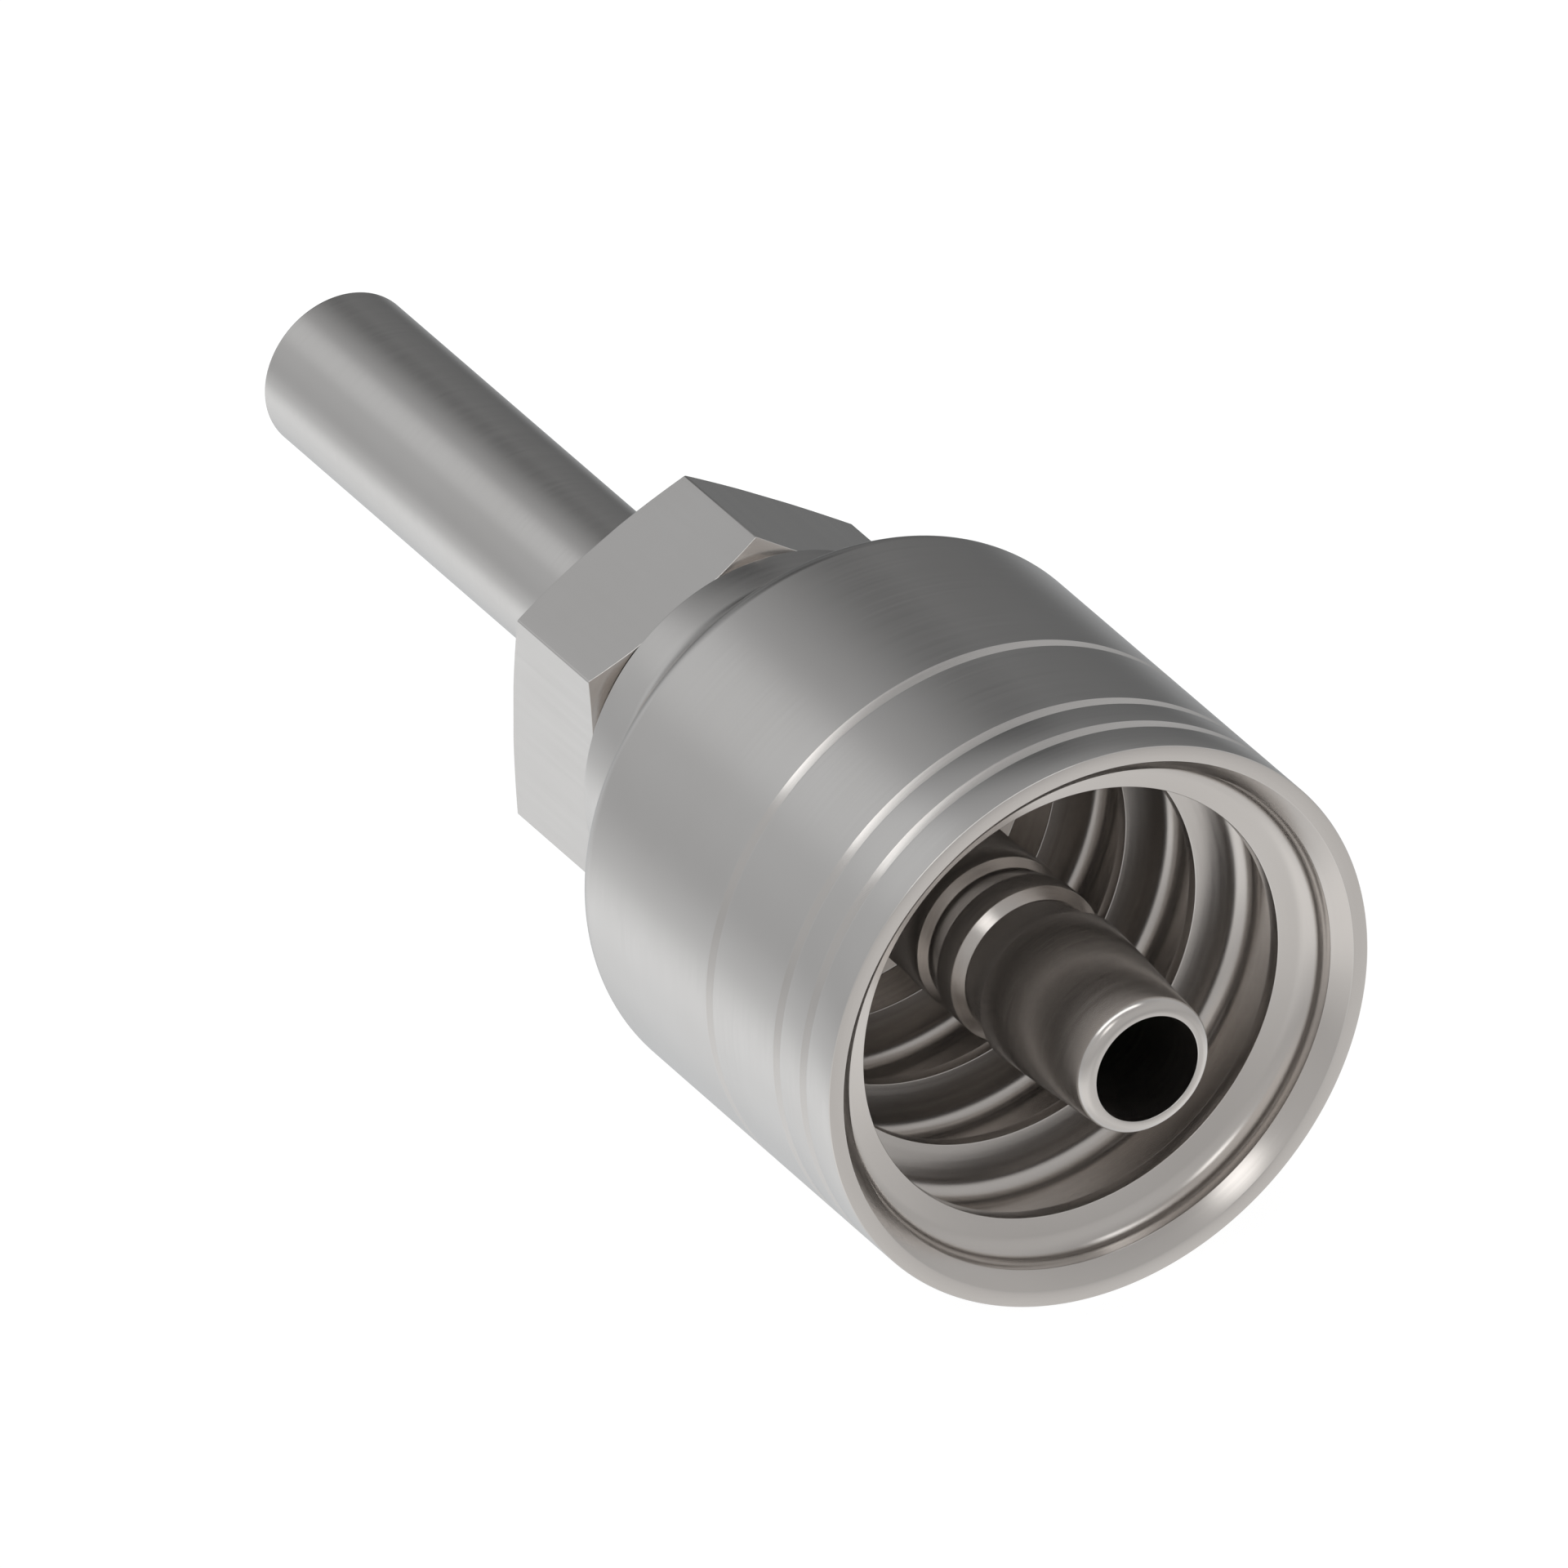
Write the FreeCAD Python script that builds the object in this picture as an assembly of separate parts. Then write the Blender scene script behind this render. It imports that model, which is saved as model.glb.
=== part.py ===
import FreeCAD, Part
import math
import os

# A crimp hose fitting with a plain tube stub, made of two turned pieces. The stem is one
# bar: hose nipple, neck, hexagon and tube stub, bored right through. The shell is the
# ferrule round the nipple, with a ring inside its collar that is closed into a groove of
# the stem. The hose goes into the space between nipple and shell, and the shell is then
# squeezed down on it. The axis lies along X, the shell's mouth is at x = 0 and the hose
# leaves along +X. Millimetres and degrees. Lengths run back from the mouth.

# Shell, radii, each from the one before it by a wall, a height or a width
shell_r = 11.20
barrel_wall = 1.08               # under the grooves between the ribs
rib_height = 2.02
lip_height = 1.51
last_groove_rise = 1.22          # the last groove is shallower, under the shoulder
end_face_width = 0.60
entry_chamfer_width = 0.60
collar_wall = 2.43               # round the stem's neck

# Shell, mouth
entry_chamfer_depth = 0.58
entry_depth = 1.98               # end face to the lip's face
entry_fillet = 0.94
lip_land = 0.57
lip_back_angle = 22.0            # slope behind the lip, from a square face

# Shell, hose space with its three grip ribs
rib_fronts = (7.01, 12.00, 16.60)
rib_land = 0.48
rib_flank_angle = 14.0           # side that faces the mouth, from a square face
rib_back_angle = 20.0
rib_root_fillet = 0.94
rib_back_fillet = 0.40
last_groove_length = 1.82        # last rib's land to the back wall
back_fillet = 0.60

# Shell, outside
notch_fronts = (1.62, 3.52, 8.34)  # fine notches, each a steep wall and a long slope
notch_depth = 0.13
notch_wall = 0.14
notch_slope = 0.35
shoulder_lead = 1.19             # how far ahead of the back wall the shoulder cone starts
shoulder_run = 3.98
shoulder_round = 2.00            # rounding at the cone's top, and fillet at its foot
collar_length = 2.16             # foot of the cone to the shell's back end
collar_break = 0.08

# Stem, bore and nipple. The nipple's radii are the bore's and a wall
bore_r = 2.10
nipple_out = 3.46                # how far the nipple stands out of the mouth
tip_wall = 0.57
tip_round = 0.47
nose_knee_back = 3.91            # tip to where the nose's taper eases off
nose_knee_wall = 0.96
nose_knee_round = 50.0
nose_back_wall = 1.02
seal_groove_front = 3.13         # mouth to the groove behind the nose
seal_groove_width = 1.71
seal_groove_wall = 0.65
barb_wall = 1.04
barb_root_wall = 0.72
barb_face_angle = 43.0           # front face of a barb, from a square face
barb_edge_round = 0.08
barb_land = 0.98
barb_taper = 1.14
nipple_wall = 0.96               # plain nipple behind the barbs

# Joint between stem and shell
neck_r = 5.20
neck_set_back = 0.60             # back wall to the neck's front face
neck_fillet = 0.50
ring_set_back = 1.25             # shell's ring to the shell's back end
ring_width = 1.20
ring_height = 0.50
shell_clearance = 0.02           # between the closed shell and the stem

# Hexagon, a corner straight up
hex_af = 14.00
hex_length = 5.80
hex_gap = 0.45                   # shell's back end to the hexagon
hex_front_face_over = 0.26       # how far the round front face passes the flats
hex_back_face_over = 0.05
hex_front_chamfer_angle = 21.0   # from a square face
hex_back_chamfer_angle = 16.7

# Tube stub
tube_r = 3.175
tube_length = 25.00
tube_fillet = 0.30
tube_end_break = 0.10

groove_r = shell_r - barrel_wall
rib_r = groove_r - rib_height
lip_r = groove_r - lip_height
last_groove_r = groove_r - last_groove_rise
mouth_r = shell_r - end_face_width
entry_r = mouth_r - entry_chamfer_width
seat_r = neck_r + shell_clearance
collar_r = seat_r + collar_wall

back_wall = rib_fronts[-1] + rib_land + last_groove_length
shoulder_front = back_wall - shoulder_lead
shoulder_back = shoulder_front + shoulder_run
shell_length = shoulder_back + collar_length
ring_back = shell_length - ring_set_back
ring_front = ring_back - ring_width
neck_front = back_wall + neck_set_back
hex_front = shell_length + hex_gap
hex_back = hex_front + hex_length
hex_corner_r = hex_af / 2 / math.cos(math.radians(30))
tube_end = hex_back + tube_length


def tan(angle):
    return math.tan(math.radians(angle))


def turned(outline):
    """Solid turned about X from a closed outline of (x, radius) or (x, radius, corner round)."""
    corners = [FreeCAD.Vector(point[0], 0, point[1]) for point in outline]
    rounds = [point[2] if len(point) > 2 else 0.0 for point in outline]
    ends = []
    for i, corner in enumerate(corners):
        if rounds[i] == 0:
            ends.append((corner, None, corner))
            continue
        before = corners[i - 1] - corner
        after = corners[(i + 1) % len(corners)] - corner
        half = before.getAngle(after) / 2
        before.normalize()
        after.normalize()
        inward = before + after
        inward.normalize()
        reach = rounds[i] / math.tan(half)
        middle = corner + inward * (rounds[i] / math.sin(half) - rounds[i])
        ends.append((corner + before * reach, middle, corner + after * reach))
    edges = []
    for i, (start, middle, end) in enumerate(ends):
        if middle is not None:
            edges.append(Part.Arc(start, middle, end).toShape())
        following = ends[(i + 1) % len(ends)][0]
        if end.distanceToPoint(following) > 1e-6:
            edges.append(Part.LineSegment(end, following).toShape())
    face = Part.Face(Part.Wire(edges))
    return face.revolve(FreeCAD.Vector(0, 0, 0), FreeCAD.Vector(1, 0, 0), 360)


def notch(front):
    """A notch in the barrel, from its steep wall on the mouth's side to the end of its slope."""
    floor = -front - notch_wall
    return [(-front, shell_r), (floor, shell_r - notch_depth), (floor - notch_slope, shell_r)]


def rib(front, back_r):
    """A grip rib, from the foot of the flank that faces the mouth to the groove behind it."""
    foot = -front + rib_height * tan(rib_flank_angle)
    land_end = -front - rib_land
    back_foot = land_end - (back_r - rib_r) * tan(rib_back_angle)
    return [(foot, groove_r, rib_root_fillet), (-front, rib_r), (land_end, rib_r),
            (back_foot, back_r, rib_back_fillet)]


def crimp_shell():
    outside = [(0, mouth_r), (0, shell_r)]
    for front in notch_fronts:
        outside += notch(front)
    outside += [(-shoulder_front, shell_r, shoulder_round),
                (-shoulder_back, collar_r, shoulder_round),
                (-shell_length + collar_break, collar_r),
                (-shell_length, collar_r - collar_break)]

    # The ring that is closed into the stem's groove
    ring_r = seat_r - ring_height
    seat = [(-shell_length, seat_r), (-ring_back, seat_r), (-ring_back, ring_r),
            (-ring_front, ring_r), (-ring_front, seat_r), (-back_wall, seat_r)]

    lip_back = entry_depth + lip_land
    lip_foot = lip_back + lip_height * tan(lip_back_angle)
    hose_space = [(-entry_chamfer_depth, entry_r), (-entry_depth, entry_r, entry_fillet),
                  (-entry_depth, lip_r), (-lip_back, lip_r),
                  (-lip_foot, groove_r, rib_back_fillet)]
    for front in rib_fronts[:-1]:
        hose_space += rib(front, groove_r)
    hose_space += rib(rib_fronts[-1], last_groove_r)
    hose_space.append((-back_wall, last_groove_r, back_fillet))
    return turned(outside + seat + hose_space[::-1])


def hexagon():
    corners = []
    for i in range(7):
        angle = math.radians(90 + 60 * i)
        corners.append(FreeCAD.Vector(-hex_front, hex_corner_r * math.cos(angle),
                                      hex_corner_r * math.sin(angle)))
    prism = Part.Face(Part.makePolygon(corners)).extrude(FreeCAD.Vector(-hex_length, 0, 0))
    front_face_r = hex_af / 2 + hex_front_face_over
    back_face_r = hex_af / 2 + hex_back_face_over
    front_drop = (hex_corner_r - front_face_r) * tan(hex_front_chamfer_angle)
    back_drop = (hex_corner_r - back_face_r) * tan(hex_back_chamfer_angle)
    blank = turned([(-hex_front, 0), (-hex_front, front_face_r),
                    (-hex_front - front_drop, hex_corner_r),
                    (-hex_back + back_drop, hex_corner_r),
                    (-hex_back, back_face_r), (-hex_back, 0)])
    return prism.common(blank)


def nipple_stem():
    tip_r = bore_r + tip_wall
    nose_knee_r = bore_r + nose_knee_wall
    nose_back_r = bore_r + nose_back_wall
    seal_groove_r = bore_r + seal_groove_wall
    seal_groove_back = seal_groove_front + seal_groove_width
    nose = [(nipple_out, 0), (nipple_out, tip_r, tip_round),
            (nipple_out - nose_knee_back, nose_knee_r, nose_knee_round),
            (-seal_groove_front, nose_back_r), (-seal_groove_front, seal_groove_r),
            (-seal_groove_back, seal_groove_r)]

    # Two barbs: a leaned front face, a land, and a taper down
    barb_r = bore_r + barb_wall
    barb_root_r = bore_r + barb_root_wall
    nipple_r = bore_r + nipple_wall
    first_land = -seal_groove_back - (barb_r - seal_groove_r) * tan(barb_face_angle)
    first_end = first_land - barb_land
    root = first_end - barb_taper
    second_land = root - (barb_r - barb_root_r) * tan(barb_face_angle)
    second_end = second_land - barb_land
    barbs = [(first_land, barb_r, barb_edge_round), (first_end, barb_r), (root, barb_root_r),
             (second_land, barb_r, barb_edge_round), (second_end, barb_r),
             (second_end - barb_taper, nipple_r)]

    ring_groove_r = neck_r - ring_height
    ring_groove_back = ring_back + shell_clearance
    neck = [(-neck_front, nipple_r, neck_fillet), (-neck_front, neck_r), (-ring_front, neck_r),
            (-ring_front, ring_groove_r), (-ring_groove_back, ring_groove_r),
            (-ring_groove_back, neck_r), (-hex_back, neck_r)]
    stub = [(-hex_back, tube_r, tube_fillet), (-tube_end + tube_end_break, tube_r),
            (-tube_end, tube_r - tube_end_break), (-tube_end, 0)]
    bar = turned(nose + barbs + neck + stub)
    bore = Part.makeCylinder(bore_r, nipple_out + tube_end, FreeCAD.Vector(-tube_end, 0, 0),
                             FreeCAD.Vector(1, 0, 0))
    return bar.fuse(hexagon()).cut(bore).removeSplitter()


os.makedirs("parts", exist_ok=True)
for name, shape in (("crimp_shell", crimp_shell()), ("nipple_stem", nipple_stem())):
    shape.exportStep("parts/" + name + ".step")
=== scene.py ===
import math

import bmesh
import bpy
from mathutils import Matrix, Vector


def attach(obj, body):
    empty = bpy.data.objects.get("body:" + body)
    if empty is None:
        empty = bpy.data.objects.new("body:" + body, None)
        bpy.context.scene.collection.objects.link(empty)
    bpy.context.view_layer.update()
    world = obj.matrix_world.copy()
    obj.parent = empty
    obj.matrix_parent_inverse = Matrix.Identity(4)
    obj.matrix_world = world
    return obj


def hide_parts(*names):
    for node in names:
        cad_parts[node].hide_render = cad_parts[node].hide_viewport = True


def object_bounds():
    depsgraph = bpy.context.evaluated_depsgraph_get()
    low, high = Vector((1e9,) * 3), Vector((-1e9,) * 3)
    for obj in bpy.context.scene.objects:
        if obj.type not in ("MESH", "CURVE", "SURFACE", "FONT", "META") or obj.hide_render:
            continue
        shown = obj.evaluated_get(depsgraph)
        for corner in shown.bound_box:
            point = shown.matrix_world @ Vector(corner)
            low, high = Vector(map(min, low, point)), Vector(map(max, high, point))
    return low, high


# A crimp hose fitting of plated steel: a stem with nipple, hexagon and tube stub, and the
# shell that is closed on it. The axis lies along X and the hose leaves along +X. Sizes are
# in millimetres and degrees, and lengths run back from the shell's mouth, as in the solids.

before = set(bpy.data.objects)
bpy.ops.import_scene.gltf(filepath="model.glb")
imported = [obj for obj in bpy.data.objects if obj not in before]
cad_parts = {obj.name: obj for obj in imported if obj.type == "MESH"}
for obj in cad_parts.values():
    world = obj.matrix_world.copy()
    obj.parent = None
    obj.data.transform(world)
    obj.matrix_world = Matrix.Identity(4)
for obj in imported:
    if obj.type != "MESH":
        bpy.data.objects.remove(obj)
cad_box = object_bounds()
mm = 0.001

# Stem. One piece of steel, turned and bored from hexagon bar and plated: a hose nipple with
# its groove and two barbs, a neck that the shell is closed on, the hexagon and a plain tube
# stub. Its turned faces keep the fine rings of the tool, its flats the lines of the bar.

bore_r = 2.10
nipple_out = 3.46
tip_r = 2.67
tip_round = 0.47
nose_knee = (-0.45, 2.96, 50.0)  # x, radius and round of the place where the taper eases off
nose_back_r = 3.12
seal_groove = (3.13, 4.84, 2.75)  # front, back and radius of the groove behind the nose
barb_r = 3.14
barb_root_r = 2.82
barb_face_angle = 43.0           # from a square face
barb_edge_round = 0.08
barb_land = 0.98
barb_taper = 1.14
nipple_r = 3.06

neck_r = 5.20
neck_front = 19.50
neck_fillet = 0.50
ring_groove = (21.40, 22.62, 4.70)  # front, back and radius of the groove the shell closes into

hex_af = 14.00
hex_front = 24.30
hex_back = 30.10
hex_face_r = (7.26, 7.05)        # round front and back face, inside the chamfers
hex_face_inner = 6.20            # where the hexagon's own rings take over its front face
hex_chamfer = (21.0, 16.7)       # from a square face
hex_corner_round = 0.10
hex_edge_round = 0.03
flat_lean = 0.02                 # the flats' faces lean less than this, as the normal's X
flat_area = 1e-8                 # and are larger than this, in square metres

tube_r = 3.175
tube_end = 55.10
tube_fillet = 0.30
tube_end_break = 0.10

columns = 240                    # faces round every turned form, 40 to a side of the hexagon
corner_faces = 3                 # faces on half of a hexagon corner's round
rim_faces = 5                    # faces on the round between the chamfer and a flat
edge_break = 0.045               # rounding of every edge that has no other
wear_and_glint_round = 0.11                # an edge with a smaller rounding than this is worn and painted with a highlight
small_round = 0.20               # up to this radius a round has the coarser faces
face_turns = (18, 5)             # how far a face may turn on a small and on a larger round
face_length = 0.30               # and how long it may be
side_used = 0.96                 # part of a side that the rounds at its two ends may take


def slant(height, angle):
    """How far a face that leans by an angle from square runs along the axis over a height."""
    return height * math.tan(math.radians(angle))


def rounded(outline, closed=True):
    """Points along an outline of (x, radius) or (x, radius, corner round), its corners rounded.

    Each point comes with 1 where it lies on a worn edge, which the steel paints lighter, partly as
    rubbed plating and partly as a painted highlight. An open outline keeps its two ends.
    """
    corners = [Vector(corner[:2]) for corner in outline]
    count = len(corners)
    turns = []
    reaches = []
    for i, corner in enumerate(outline):
        before = corners[i - 1] - corners[i]
        after = corners[(i + 1) % count] - corners[i]
        kept = not closed and i in (0, count - 1)
        turns.append(0.0 if kept else math.pi - before.angle(after))
        radius = corner[2] if len(corner) > 2 else edge_break
        reaches.append(radius * math.tan(turns[i] / 2))
    for i in range(count):
        side = (corners[i] - corners[i - 1]).length
        if reaches[i - 1] + reaches[i] > side_used * side:
            share = side_used * side / (reaches[i - 1] + reaches[i])
            reaches[i - 1] *= share
            reaches[i] *= share

    points = []
    for i, here in enumerate(corners):
        if turns[i] == 0:
            points.append((here, 0.0))
            continue
        to_before = (corners[i - 1] - here).normalized()
        to_after = (corners[(i + 1) % count] - here).normalized()
        radius = reaches[i] / math.tan(turns[i] / 2)
        middle = here + (to_before + to_after).normalized() * (radius / math.cos(turns[i] / 2))
        start = here + to_before * reaches[i] - middle
        swing = start.angle_signed(here + to_after * reaches[i] - middle)
        face_turn = face_turns[1] if radius > small_round else face_turns[0]
        steps = max(3, math.ceil(math.degrees(turns[i]) / face_turn),
                    math.ceil(turns[i] * radius / face_length))
        for step in range(steps + 1):
            angle = -swing * step / steps
            spoke = Vector((start.x * math.cos(angle) - start.y * math.sin(angle),
                            start.x * math.sin(angle) + start.y * math.cos(angle)))
            wear_and_glint = 1.0 if radius < wear_and_glint_round and 0 < step < steps else 0.0
            points.append((middle + spoke, wear_and_glint))
    return points


def turned_rings(outline, closed=True):
    """Rings of (x, radius, angle) for a turned outline, one for each of its points."""
    spread = [math.radians(360 / columns) * k for k in range(columns)]
    return [([(point.x, point.y, angle) for angle in spread], wear_and_glint)
            for point, wear_and_glint in rounded(outline, closed)]


def hexagon_rings(face, face_r, chamfer, side):
    """Rings over one end of the hexagon, from its round face over the chamfer to the flats."""
    half = hex_af / 2
    lean = math.radians(chamfer)
    corner_centre = (half - hex_corner_round) / math.cos(math.pi / 6)
    corner_reach = math.pi / 6 - math.atan((half - hex_corner_round) * math.tan(math.pi / 6) / half)
    corner_end = corner_reach * 1.0001  # a little over, for rounding errors
    flat_faces = columns // 6 - 2 * corner_faces
    arc = [corner_reach * k / corner_faces for k in range(-corner_faces, corner_faces + 1)]
    gap = (math.pi / 3 - 2 * corner_reach) / flat_faces
    flat = [corner_reach + gap * k for k in range(1, flat_faces)]

    def hexagon_r(turn):
        if turn <= corner_end:
            across = corner_centre * math.sin(turn)
            return corner_centre * math.cos(turn) + math.sqrt(hex_corner_round ** 2 - across ** 2)
        return half / math.cos(math.pi / 6 - min(turn, math.pi / 3 - turn))

    stations = [(False, lean * k / 2, 0.0) for k in range(3)]
    for k in range(rim_faces + 1):
        tilt = lean + (math.pi / 2 - lean) * k / rim_faces
        stations.append((True, tilt, 1.0 if 0 < k < rim_faces else 0.0))
    rings = []
    for on_flat, tilt, wear_and_glint in stations:
        ring = []
        for sector in range(6):
            for turn in arc + flat:
                outer = hexagon_r(abs(turn)) - hex_edge_round
                centre_r = face_r + hex_edge_round * (math.cos(lean) - 1) / math.sin(lean)
                depth = hex_edge_round
                if on_flat:
                    slide = hex_edge_round + (outer - face_r) * math.sin(lean)
                    depth = max(depth, slide / math.cos(lean))
                    centre_r = outer
                x = face + side * (hex_edge_round * math.cos(tilt) - depth)
                r = min(centre_r, outer) + hex_edge_round * math.sin(tilt)
                ring.append((x, r, turn + math.radians(60 * sector)))
        rings.append((ring, wear_and_glint))
    return rings


def skin(name, rings):
    """A closed mesh over rings of (x, radius, angle), angle 0 straight up, with an edge mask."""
    shell = bmesh.new()
    edge_layer = shell.verts.layers.float.new("edge")
    grid = []
    for ring, wear_and_glint in rings:
        row = []
        for x, r, angle in ring:
            vert = shell.verts.new((x * mm, -r * math.sin(angle) * mm, r * math.cos(angle) * mm))
            vert[edge_layer] = wear_and_glint
            row.append(vert)
        grid.append(row)
    for i, row in enumerate(grid):
        following = grid[(i + 1) % len(grid)]
        for k in range(columns):
            face = shell.faces.new((row[k - 1], row[k], following[k], following[k - 1]))
            face.smooth = True
    bmesh.ops.recalc_face_normals(shell, faces=shell.faces)
    mesh = bpy.data.meshes.new(name)
    shell.to_mesh(mesh)
    shell.free()
    piece = bpy.data.objects.new(name, mesh)
    bpy.context.scene.collection.objects.link(piece)
    weighted = piece.modifiers.new("even_shading", "WEIGHTED_NORMAL")
    weighted.mode = "FACE_AREA"
    weighted.weight = 90
    return piece


seal_front, seal_back, seal_r = seal_groove
groove_front, groove_back, groove_floor = ring_groove
first_land = -seal_back - slant(barb_r - seal_r, barb_face_angle)
first_end = first_land - barb_land
root = first_end - barb_taper
second_land = root - slant(barb_r - barb_root_r, barb_face_angle)
second_end = second_land - barb_land
middle_x = -(hex_front + hex_back) / 2
front_outline = [
    (middle_x, bore_r), (nipple_out, bore_r), (nipple_out, tip_r, tip_round), nose_knee,
    (-seal_front, nose_back_r), (-seal_front, seal_r), (-seal_back, seal_r),
    (first_land, barb_r, barb_edge_round), (first_end, barb_r), (root, barb_root_r),
    (second_land, barb_r, barb_edge_round), (second_end, barb_r),
    (second_end - barb_taper, nipple_r), (-neck_front, nipple_r, neck_fillet),
    (-neck_front, neck_r), (-groove_front, neck_r), (-groove_front, groove_floor),
    (-groove_back, groove_floor), (-groove_back, neck_r), (-hex_front, neck_r),
    (-hex_front, hex_face_inner)]
back_outline = [
    (-hex_back, neck_r), (-hex_back, tube_r, tube_fillet),
    (-tube_end, tube_r, tube_end_break), (-tube_end, bore_r), (middle_x, bore_r)]
stem_rings = turned_rings(front_outline, closed=False)
stem_rings += hexagon_rings(-hex_front, hex_face_r[0], hex_chamfer[0], 1)
stem_rings += hexagon_rings(-hex_back, hex_face_r[1], hex_chamfer[1], -1)[::-1]
# The back outline's last ring is the front outline's first
stem_rings += turned_rings(back_outline, closed=False)[:-1]
stem = skin("stem_bar", stem_rings)


def place(tree, kind, sockets, **settings):
    """A new node with its settings, and its sockets set to a value or fed by another's output."""
    node = tree.nodes.new("ShaderNode" + kind)
    for name, value in settings.items():
        setattr(node, name, value)
    for key, value in sockets.items():
        if isinstance(value, bpy.types.NodeSocket):
            tree.links.new(value, node.inputs[key])
        else:
            node.inputs[key].default_value = value
    return node


def steel_marks():
    """Group: what tool, bar and plating leave on steel, as a height and two masks. Sizes in mm."""
    bar_stretch = 0.12
    grains = 11.0
    grain_height = 0.5
    clouds = 0.2
    group = bpy.data.node_groups.new("steel_marks", "ShaderNodeTree")
    for name in ("Pitch", "Streak", "Drawn"):
        group.interface.new_socket(name, in_out="INPUT", socket_type="NodeSocketFloat")
    for name in ("Height", "Lines", "Haze"):
        group.interface.new_socket(name, in_out="OUTPUT", socket_type="NodeSocketFloat")
    given = group.nodes.new("NodeGroupInput").outputs
    spot = place(group, "TexCoord", {}).outputs["Object"]
    in_mm = place(group, "VectorMath", {0: spot, "Scale": 1 / mm}, operation="SCALE").outputs[0]
    axes = place(group, "SeparateXYZ", {0: in_mm}).outputs

    # Rings of the tool: fine along the axis and the radius, long round the axis
    around = place(group, "Math", {0: axes["Z"], 1: axes["Y"]}, operation="ARCTAN2").outputs[0]
    square_y = place(group, "Math", {0: axes["Y"], 1: 2.0}, operation="POWER").outputs[0]
    square_z = place(group, "Math", {0: axes["Z"], 1: 2.0}, operation="POWER").outputs[0]
    total = place(group, "Math", {0: square_y, 1: square_z}, operation="ADD").outputs[0]
    radius = place(group, "Math", {0: total, 1: 0.5}, operation="POWER").outputs[0]
    along = place(group, "Math", {0: axes["X"], 1: given["Pitch"]}, operation="DIVIDE").outputs[0]
    outward = place(group, "Math", {0: radius, 1: given["Pitch"]}, operation="DIVIDE").outputs[0]
    run = place(group, "Math", {0: around, 1: given["Streak"]}, operation="MULTIPLY").outputs[0]
    ring_spot = place(group, "CombineXYZ", {"X": along, "Y": outward, "Z": run}).outputs[0]

    # Lines of the drawn bar: fine across, long along the axis
    far = place(group, "Math", {0: axes["X"], 1: bar_stretch}, operation="MULTIPLY").outputs[0]
    over_y = place(group, "Math", {0: axes["Y"], 1: given["Pitch"]}, operation="DIVIDE").outputs[0]
    over_z = place(group, "Math", {0: axes["Z"], 1: given["Pitch"]}, operation="DIVIDE").outputs[0]
    bar_spot = place(group, "CombineXYZ", {"X": far, "Y": over_y, "Z": over_z}).outputs[0]
    line_spot = place(group, "Mix", {0: given["Drawn"], 4: ring_spot, 5: bar_spot},
                      data_type="VECTOR").outputs[1]
    lines = place(group, "TexNoise", {"Vector": line_spot, "Scale": 1.0, "Detail": 3.0,
                                      "Roughness": 0.6}).outputs[0]
    grain = place(group, "TexNoise", {"Vector": in_mm, "Scale": grains, "Detail": 2.0}).outputs[0]
    cloud = place(group, "TexNoise", {"Vector": in_mm, "Scale": clouds, "Detail": 4.0}).outputs[0]
    height = place(group, "Math", {0: grain, 1: grain_height, 2: lines},
                   operation="MULTIPLY_ADD").outputs[0]
    out = group.nodes.new("NodeGroupOutput").inputs
    group.links.new(height, out["Height"])
    group.links.new(lines, out["Lines"])
    group.links.new(cloud, out["Haze"])
    return group


marks = steel_marks()


def plated_steel(name, pitch, streak, drawn, shine, depth):
    """Plated steel: line pitch in mm, streak, drawn or turned, two roughnesses, depth in microns."""
    dull_plate = (0.740, 0.706, 0.676, 1.0)
    clear_plate = (0.790, 0.760, 0.734, 1.0)
    # Lighter plate for the small rounded edges: partly rubbed plating, partly a painted highlight
    # along them
    wear_and_glint_edge = (0.810, 0.785, 0.760, 1.0)
    micron = 0.001 * mm
    material = bpy.data.materials.new(name)
    material.use_nodes = True
    tree = material.node_tree
    tree.nodes.clear()
    group = place(tree, "Group", {}, node_tree=marks)
    for key, value in (("Pitch", pitch), ("Streak", streak), ("Drawn", drawn)):
        group.inputs[key].default_value = value
    edge = place(tree, "Attribute", {}, attribute_name="edge").outputs["Fac"]
    tone = place(tree, "Mix", {0: group.outputs["Haze"], 6: dull_plate, 7: clear_plate},
                 data_type="RGBA").outputs[2]
    # The rounded edges take the lighter plate, partly wear and partly a painted highlight
    colour = place(tree, "Mix", {0: edge, 6: tone, 7: wear_and_glint_edge}, data_type="RGBA").outputs[2]
    rough = place(tree, "MapRange", {0: group.outputs["Lines"], 1: 0.3, 2: 0.7,
                                     3: shine[0], 4: shine[1]}).outputs[0]
    bump = place(tree, "Bump", {"Height": group.outputs["Height"], "Strength": 1.0,
                                "Distance": depth * micron}).outputs[0]
    steel = place(tree, "BsdfPrincipled", {"Base Color": colour, "Roughness": rough,
                                           "Metallic": 1.0, "Normal": bump})
    out = place(tree, "OutputMaterial", {"Surface": steel.outputs[0]})
    out.is_active_output = True
    return material


stem.data.materials.append(plated_steel("stem_turned_steel", 0.16, 0.8, 0.0, (0.20, 0.26), 0.15))
stem.data.materials.append(plated_steel("stem_drawn_steel", 0.30, 0.8, 1.0, (0.21, 0.27), 0.20))
for face in stem.data.polygons:
    if -hex_back * mm < face.center.x < -hex_front * mm and abs(face.normal.x) < flat_lean:
        face.material_index = 1 if face.area > flat_area else 0
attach(stem, "root")
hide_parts("nipple_stem")

# Shell. A steel sleeve, turned and bored from round bar and plated: a mouth with a chamfer,
# an inner lip, three grip ribs of which the last runs on to the back wall, a shoulder and a
# collar. Its inner ring is closed into the stem's groove at the works.

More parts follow.
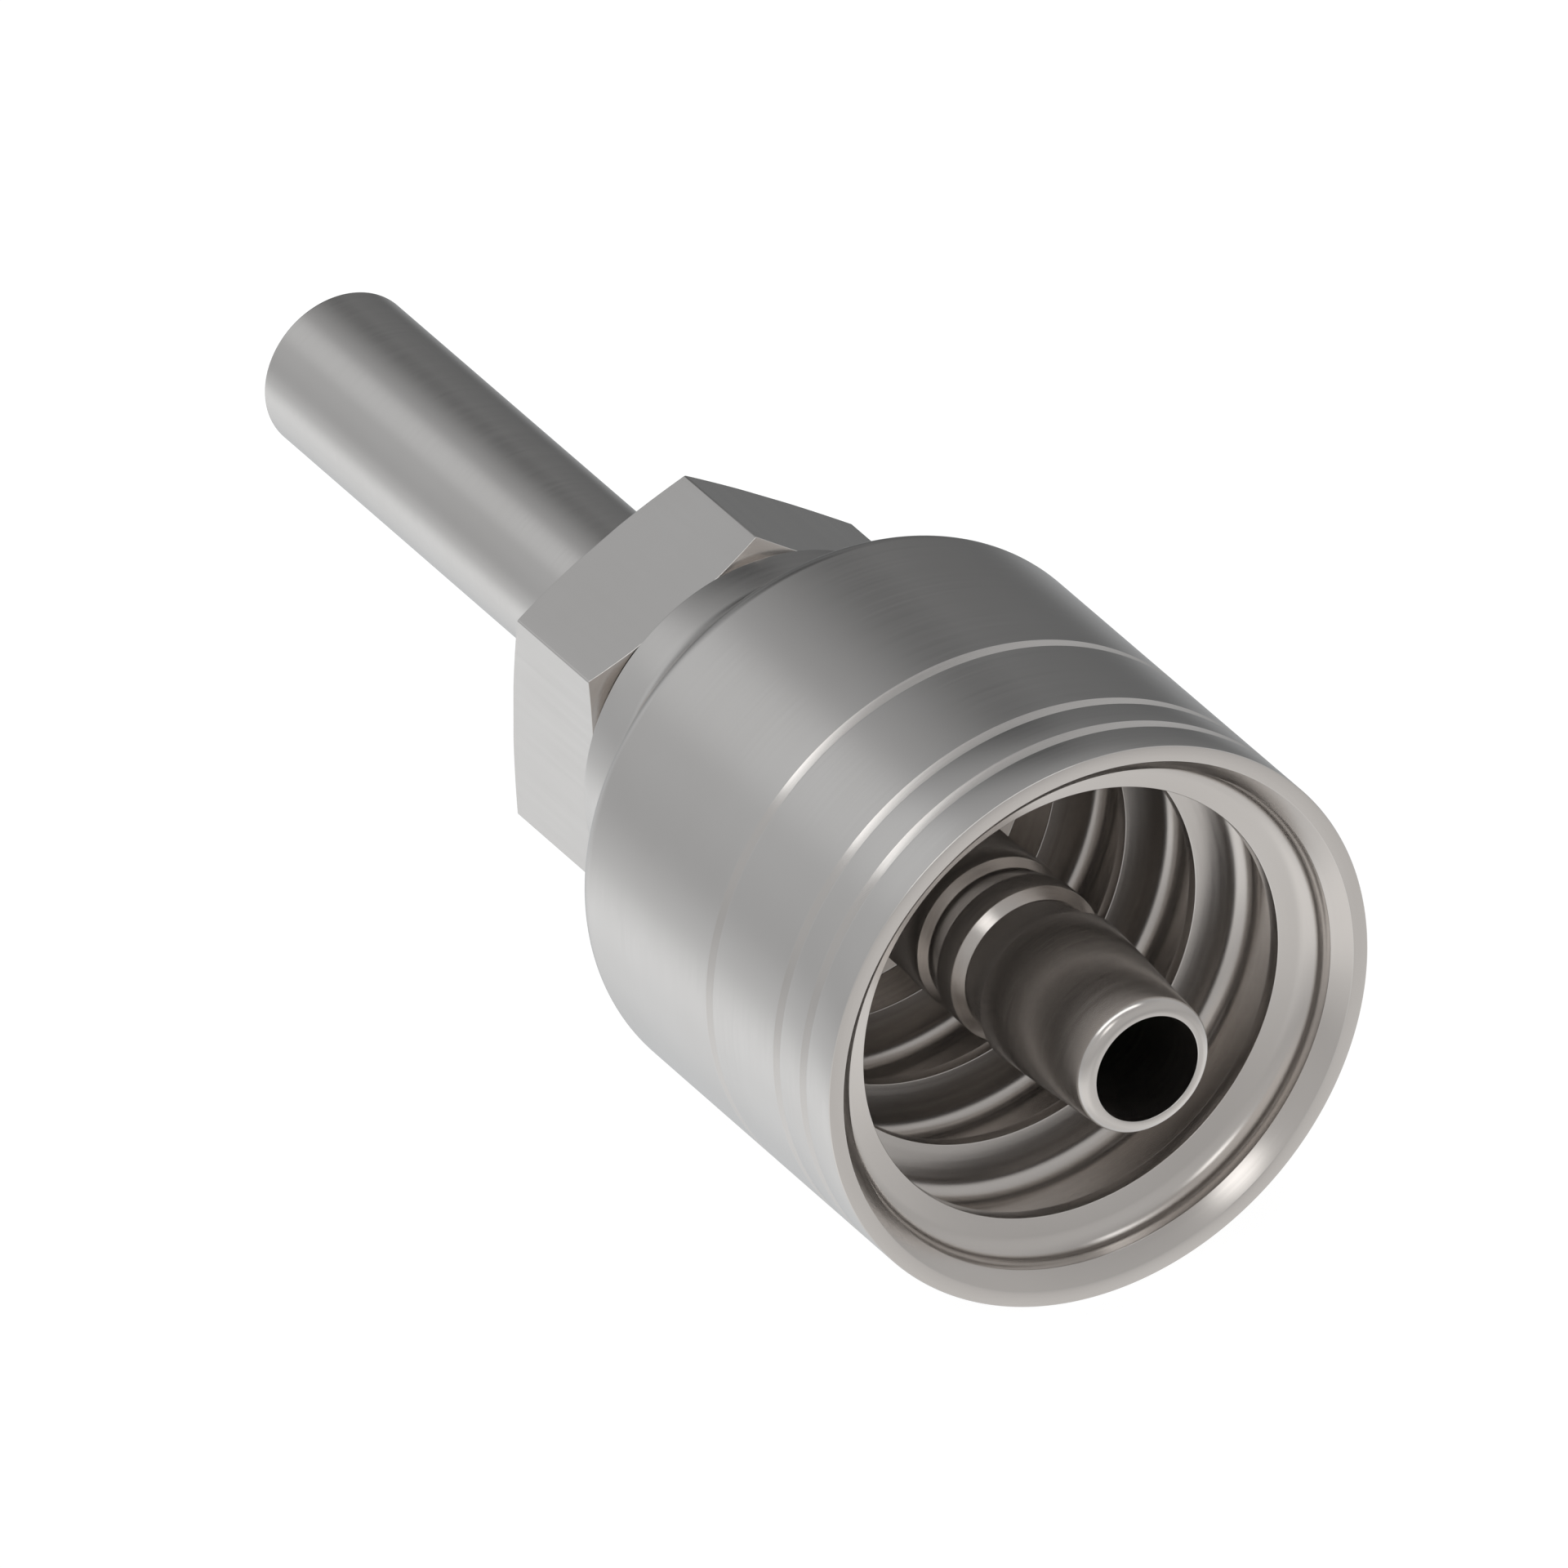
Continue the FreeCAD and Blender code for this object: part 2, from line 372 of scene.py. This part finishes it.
shell_r = 11.20
end_face_r = 10.60
entry_r = 10.00
entry_chamfer = 0.62
entry_depth = 1.98
entry_fillet = 0.94
lip_r = 8.61
lip_land = 0.57
lip_back_angle = 22.0
groove_r = 10.12
rib_r = 8.10
rib_fronts = (7.01, 12.00, 17.00)
rib_land = 0.48
rib_flank_angle = 14.0
rib_back_angle = 20.0
rib_root_fillet = 0.94
rib_back_fillet = 0.40
back_wall = 18.90
notch_fronts = (1.62, 3.52, 8.34)
notch_depth = 0.13
notch_wall = 0.14
notch_slope = 0.35
shoulder_front = 17.71
shoulder_back = 21.69
shoulder_round = 1.10
shoulder_foot_round = 1.40
collar_r = 7.65
shell_length = 23.85
collar_break = 0.08
shell_clearance = 0.02

shell_outline = [(0, end_face_r), (0, shell_r)]
for front in notch_fronts:
    floor_x = -front - notch_wall
    shell_outline += [(-front, shell_r), (floor_x, shell_r - notch_depth),
                      (floor_x - notch_slope, shell_r)]
shell_outline += [(-shoulder_front, shell_r, shoulder_round),
                  (-shoulder_back, collar_r, shoulder_foot_round),
                  (-shell_length, collar_r, collar_break)]
seat_r = neck_r + shell_clearance
ring_r = groove_floor + shell_clearance
shell_outline += [(-shell_length, seat_r), (-groove_back + shell_clearance, seat_r),
                  (-groove_back + shell_clearance, ring_r), (-groove_front, ring_r),
                  (-groove_front, seat_r), (-back_wall, seat_r), (-back_wall, rib_r)]
for front in rib_fronts[::-1]:
    land_end = -front - rib_land
    if front != rib_fronts[-1]:
        shell_outline += [(land_end - slant(groove_r - rib_r, rib_back_angle), groove_r,
                           rib_back_fillet), (land_end, rib_r)]
    shell_outline += [(-front, rib_r), (-front + slant(groove_r - rib_r, rib_flank_angle),
                                        groove_r, rib_root_fillet)]
lip_back = entry_depth + lip_land
shell_outline += [(-lip_back - slant(groove_r - lip_r, lip_back_angle), groove_r, rib_back_fillet),
                  (-lip_back, lip_r), (-entry_depth, lip_r),
                  (-entry_depth + slant(entry_r - lip_r, rib_flank_angle), entry_r, entry_fillet),
                  (-entry_chamfer, entry_r)]

shell = skin("shell_sleeve", turned_rings(shell_outline))
shell.data.materials.append(plated_steel("shell_turned_steel", 0.20, 0.8, 0.0, (0.20, 0.26), 0.15))
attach(shell, "root")
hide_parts("crimp_shell")

# Floor. A plain sheet just under the shell. Light reaches it as grey, and the camera sees it
# white, with the fitting's own soft shadow.

floor_size = 3000.0
floor_gap = 0.02
floor_grey = (0.22, 0.22, 0.22, 1.0)
floor_glow = 0.92                # what the camera sees added to the grey, up to white
floor_mesh = bpy.data.meshes.new("floor")
half = floor_size / 2 * mm
floor_z = cad_box[0].z - floor_gap * mm
floor_mesh.from_pydata([(-half, -half, floor_z), (half, -half, floor_z), (half, half, floor_z),
                        (-half, half, floor_z)], [], [(0, 1, 2, 3)])
floor = bpy.data.objects.new("floor", floor_mesh)
bpy.context.scene.collection.objects.link(floor)
floor_paint = bpy.data.materials.new("pale_floor")
floor_paint.use_nodes = True
tree = floor_paint.node_tree
tree.nodes.clear()
rays = place(tree, "LightPath", {}).outputs
seen = place(tree, "Math", {0: rays["Is Camera Ray"], 1: rays["Is Transmission Ray"]},
             operation="MAXIMUM").outputs[0]
seen = place(tree, "Math", {0: seen, 1: rays["Is Glossy Ray"]}, operation="MAXIMUM").outputs[0]
glow = place(tree, "Math", {0: seen, 1: floor_glow}, operation="MULTIPLY").outputs[0]
white = place(tree, "Emission", {"Color": (1.0, 1.0, 1.0, 1.0), "Strength": glow})
matt = place(tree, "BsdfDiffuse", {"Color": floor_grey})
both = place(tree, "AddShader", {0: white.outputs[0], 1: matt.outputs[0]})
place(tree, "OutputMaterial", {"Surface": both.outputs[0]})
floor_mesh.materials.append(floor_paint)
floor.visible_glossy = False

# Light. A plain studio, all round and soft: a pale floor below the horizon, even walls above
# it, one long box overhead, a lamp over the camera, and darker screens behind the fitting
# that give the metal its dark bands.

world = bpy.data.worlds.new("studio")
bpy.context.scene.world = world
world.use_nodes = True
tree = world.node_tree
tree.nodes.clear()
look = place(tree, "TexCoord", {}).outputs["Generated"]
ways = place(tree, "SeparateXYZ", {0: look}).outputs
height = place(tree, "MapRange", {0: ways["Z"], 1: -1.0, 2: 1.0, 3: 0.0, 4: 1.0}).outputs[0]
walls = place(tree, "ValToRGB", {0: height})
walls.color_ramp.interpolation = "EASE"
# Elevation and the walls' brightness there
heights = ((-90, 0.61), (-50, 0.80), (-32, 0.77), (-18, 0.56), (-5, 0.43), (12, 0.47), (34, 0.47),
           (50, 0.43), (85, 0.31))
ramp = walls.color_ramp.elements
while len(ramp) < len(heights):
    ramp.new(0.5)
for stop, (elevation, grey) in zip(ramp, heights):
    stop.position = (math.sin(math.radians(elevation)) + 1) / 2
for stop, (elevation, grey) in zip(ramp, heights):
    stop.color = (grey, grey, grey, 1.0)


def toward(azimuth, elevation):
    """Unit vector at an azimuth from +X towards +Y and an elevation, in degrees."""
    a, e = math.radians(azimuth), math.radians(elevation)
    return Vector((math.cos(a) * math.cos(e), math.sin(a) * math.cos(e), math.sin(e)))


# Azimuth and elevation, radius at full strength and at its soft edge, brightness added
studio_lights = (
    (-36, 42, 2, 13, 1.17),
    (157, 9, 15, 42, -0.32),
    (174, 34, 4, 25, -0.11),
    (154, -36, 6, 32, -0.14),
    (-149, 33, 3, 18, 0.13),
    (21, -37, 10, 39, -0.14),
    (-148, -30, 5, 14, 0.09),
    (-172, 10, 6, 24, 0.12),
)
# The box overhead: how far its sides slant, and for each side and each end how far out from
# straight up its light is nothing and how far out it is full, as a part of the unit look
box_turn = -0.207
box_sides = ((-0.115, -0.085), (0.243, 0.203))
box_ends = ((-0.755, -0.725), (0.33, 0.29))
box_brightness = 1.40

# The light's colour towards the stub and towards the hose, and the X where each is reached
cool = (0.965, 0.995, 1.02, 1.0)
warm = (1.01, 1.0, 0.99, 1.0)
cool_x, warm_x = -0.7, 0.3

level = walls.outputs[0]
for azimuth, elevation, full, faded, added in studio_lights:
    aim = place(tree, "VectorMath", {0: look, 1: toward(azimuth, elevation)},
                operation="DOT_PRODUCT").outputs["Value"]
    spot = place(tree, "MapRange", {0: aim, 1: math.cos(math.radians(faded)),
                                    2: math.cos(math.radians(full)), 3: 0.0, 4: added},
                 interpolation_type="SMOOTHSTEP").outputs[0]
    level = place(tree, "Math", {0: level, 1: spot}, operation="ADD").outputs[0]
box = place(tree, "Math", {0: ways["Z"], 1: 0.0}, operation="GREATER_THAN").outputs[0]
across = place(tree, "Math", {0: ways["Y"], 1: box_turn, 2: ways["X"]},
               operation="MULTIPLY_ADD").outputs[0]
for measure, edges in ((across, box_sides), (ways["Y"], box_ends)):
    for outside, inside in edges:
        edge = place(tree, "MapRange", {0: measure, 1: outside, 2: inside, 3: 0.0, 4: 1.0},
                     interpolation_type="SMOOTHSTEP").outputs[0]
        box = place(tree, "Math", {0: box, 1: edge}, operation="MULTIPLY").outputs[0]
level = place(tree, "Math", {0: box, 1: box_brightness, 2: level},
              operation="MULTIPLY_ADD").outputs[0]
ahead = place(tree, "MapRange", {0: ways["X"], 1: cool_x, 2: warm_x, 3: 0.0, 4: 1.0}).outputs[0]
tint = place(tree, "Mix", {0: ahead, 6: cool, 7: warm}, data_type="RGBA").outputs[2]
room = place(tree, "Background", {"Color": tint, "Strength": level})
backdrop = place(tree, "Background", {"Color": (1.0, 1.0, 1.0, 1.0), "Strength": 1.0})
rays = place(tree, "LightPath", {}).outputs
shown = place(tree, "MixShader", {0: rays["Is Camera Ray"], 1: room.outputs[0],
                                  2: backdrop.outputs[0]})
place(tree, "OutputWorld", {"Surface": shown.outputs[0]})

# Camera. Thirty degrees above the axis and thirty off it, with a lens so long that the view
# has almost no perspective; a millimetre at the hexagon is 33.9 pixels.

camera_data = bpy.data.cameras.new("camera")
camera_data.sensor_width = 36.0
camera_data.lens = 1500.0
camera = bpy.data.objects.new("camera", camera_data)
bpy.context.scene.collection.objects.link(camera)
view_back = toward(-30, 30)
aim_point = Vector((-20.31, -1.33, 0.31)) * mm
frame_width = 56.64
distance = frame_width * camera_data.lens / camera_data.sensor_width * mm
camera.location = aim_point + view_back * distance
camera.rotation_mode = "QUATERNION"
camera.rotation_quaternion = (-view_back).to_track_quat("-Z", "Y")
camera_data.clip_start = 0.1
camera_data.clip_end = 20.0
bpy.context.scene.camera = camera
bpy.context.scene.view_settings.view_transform = "Standard"
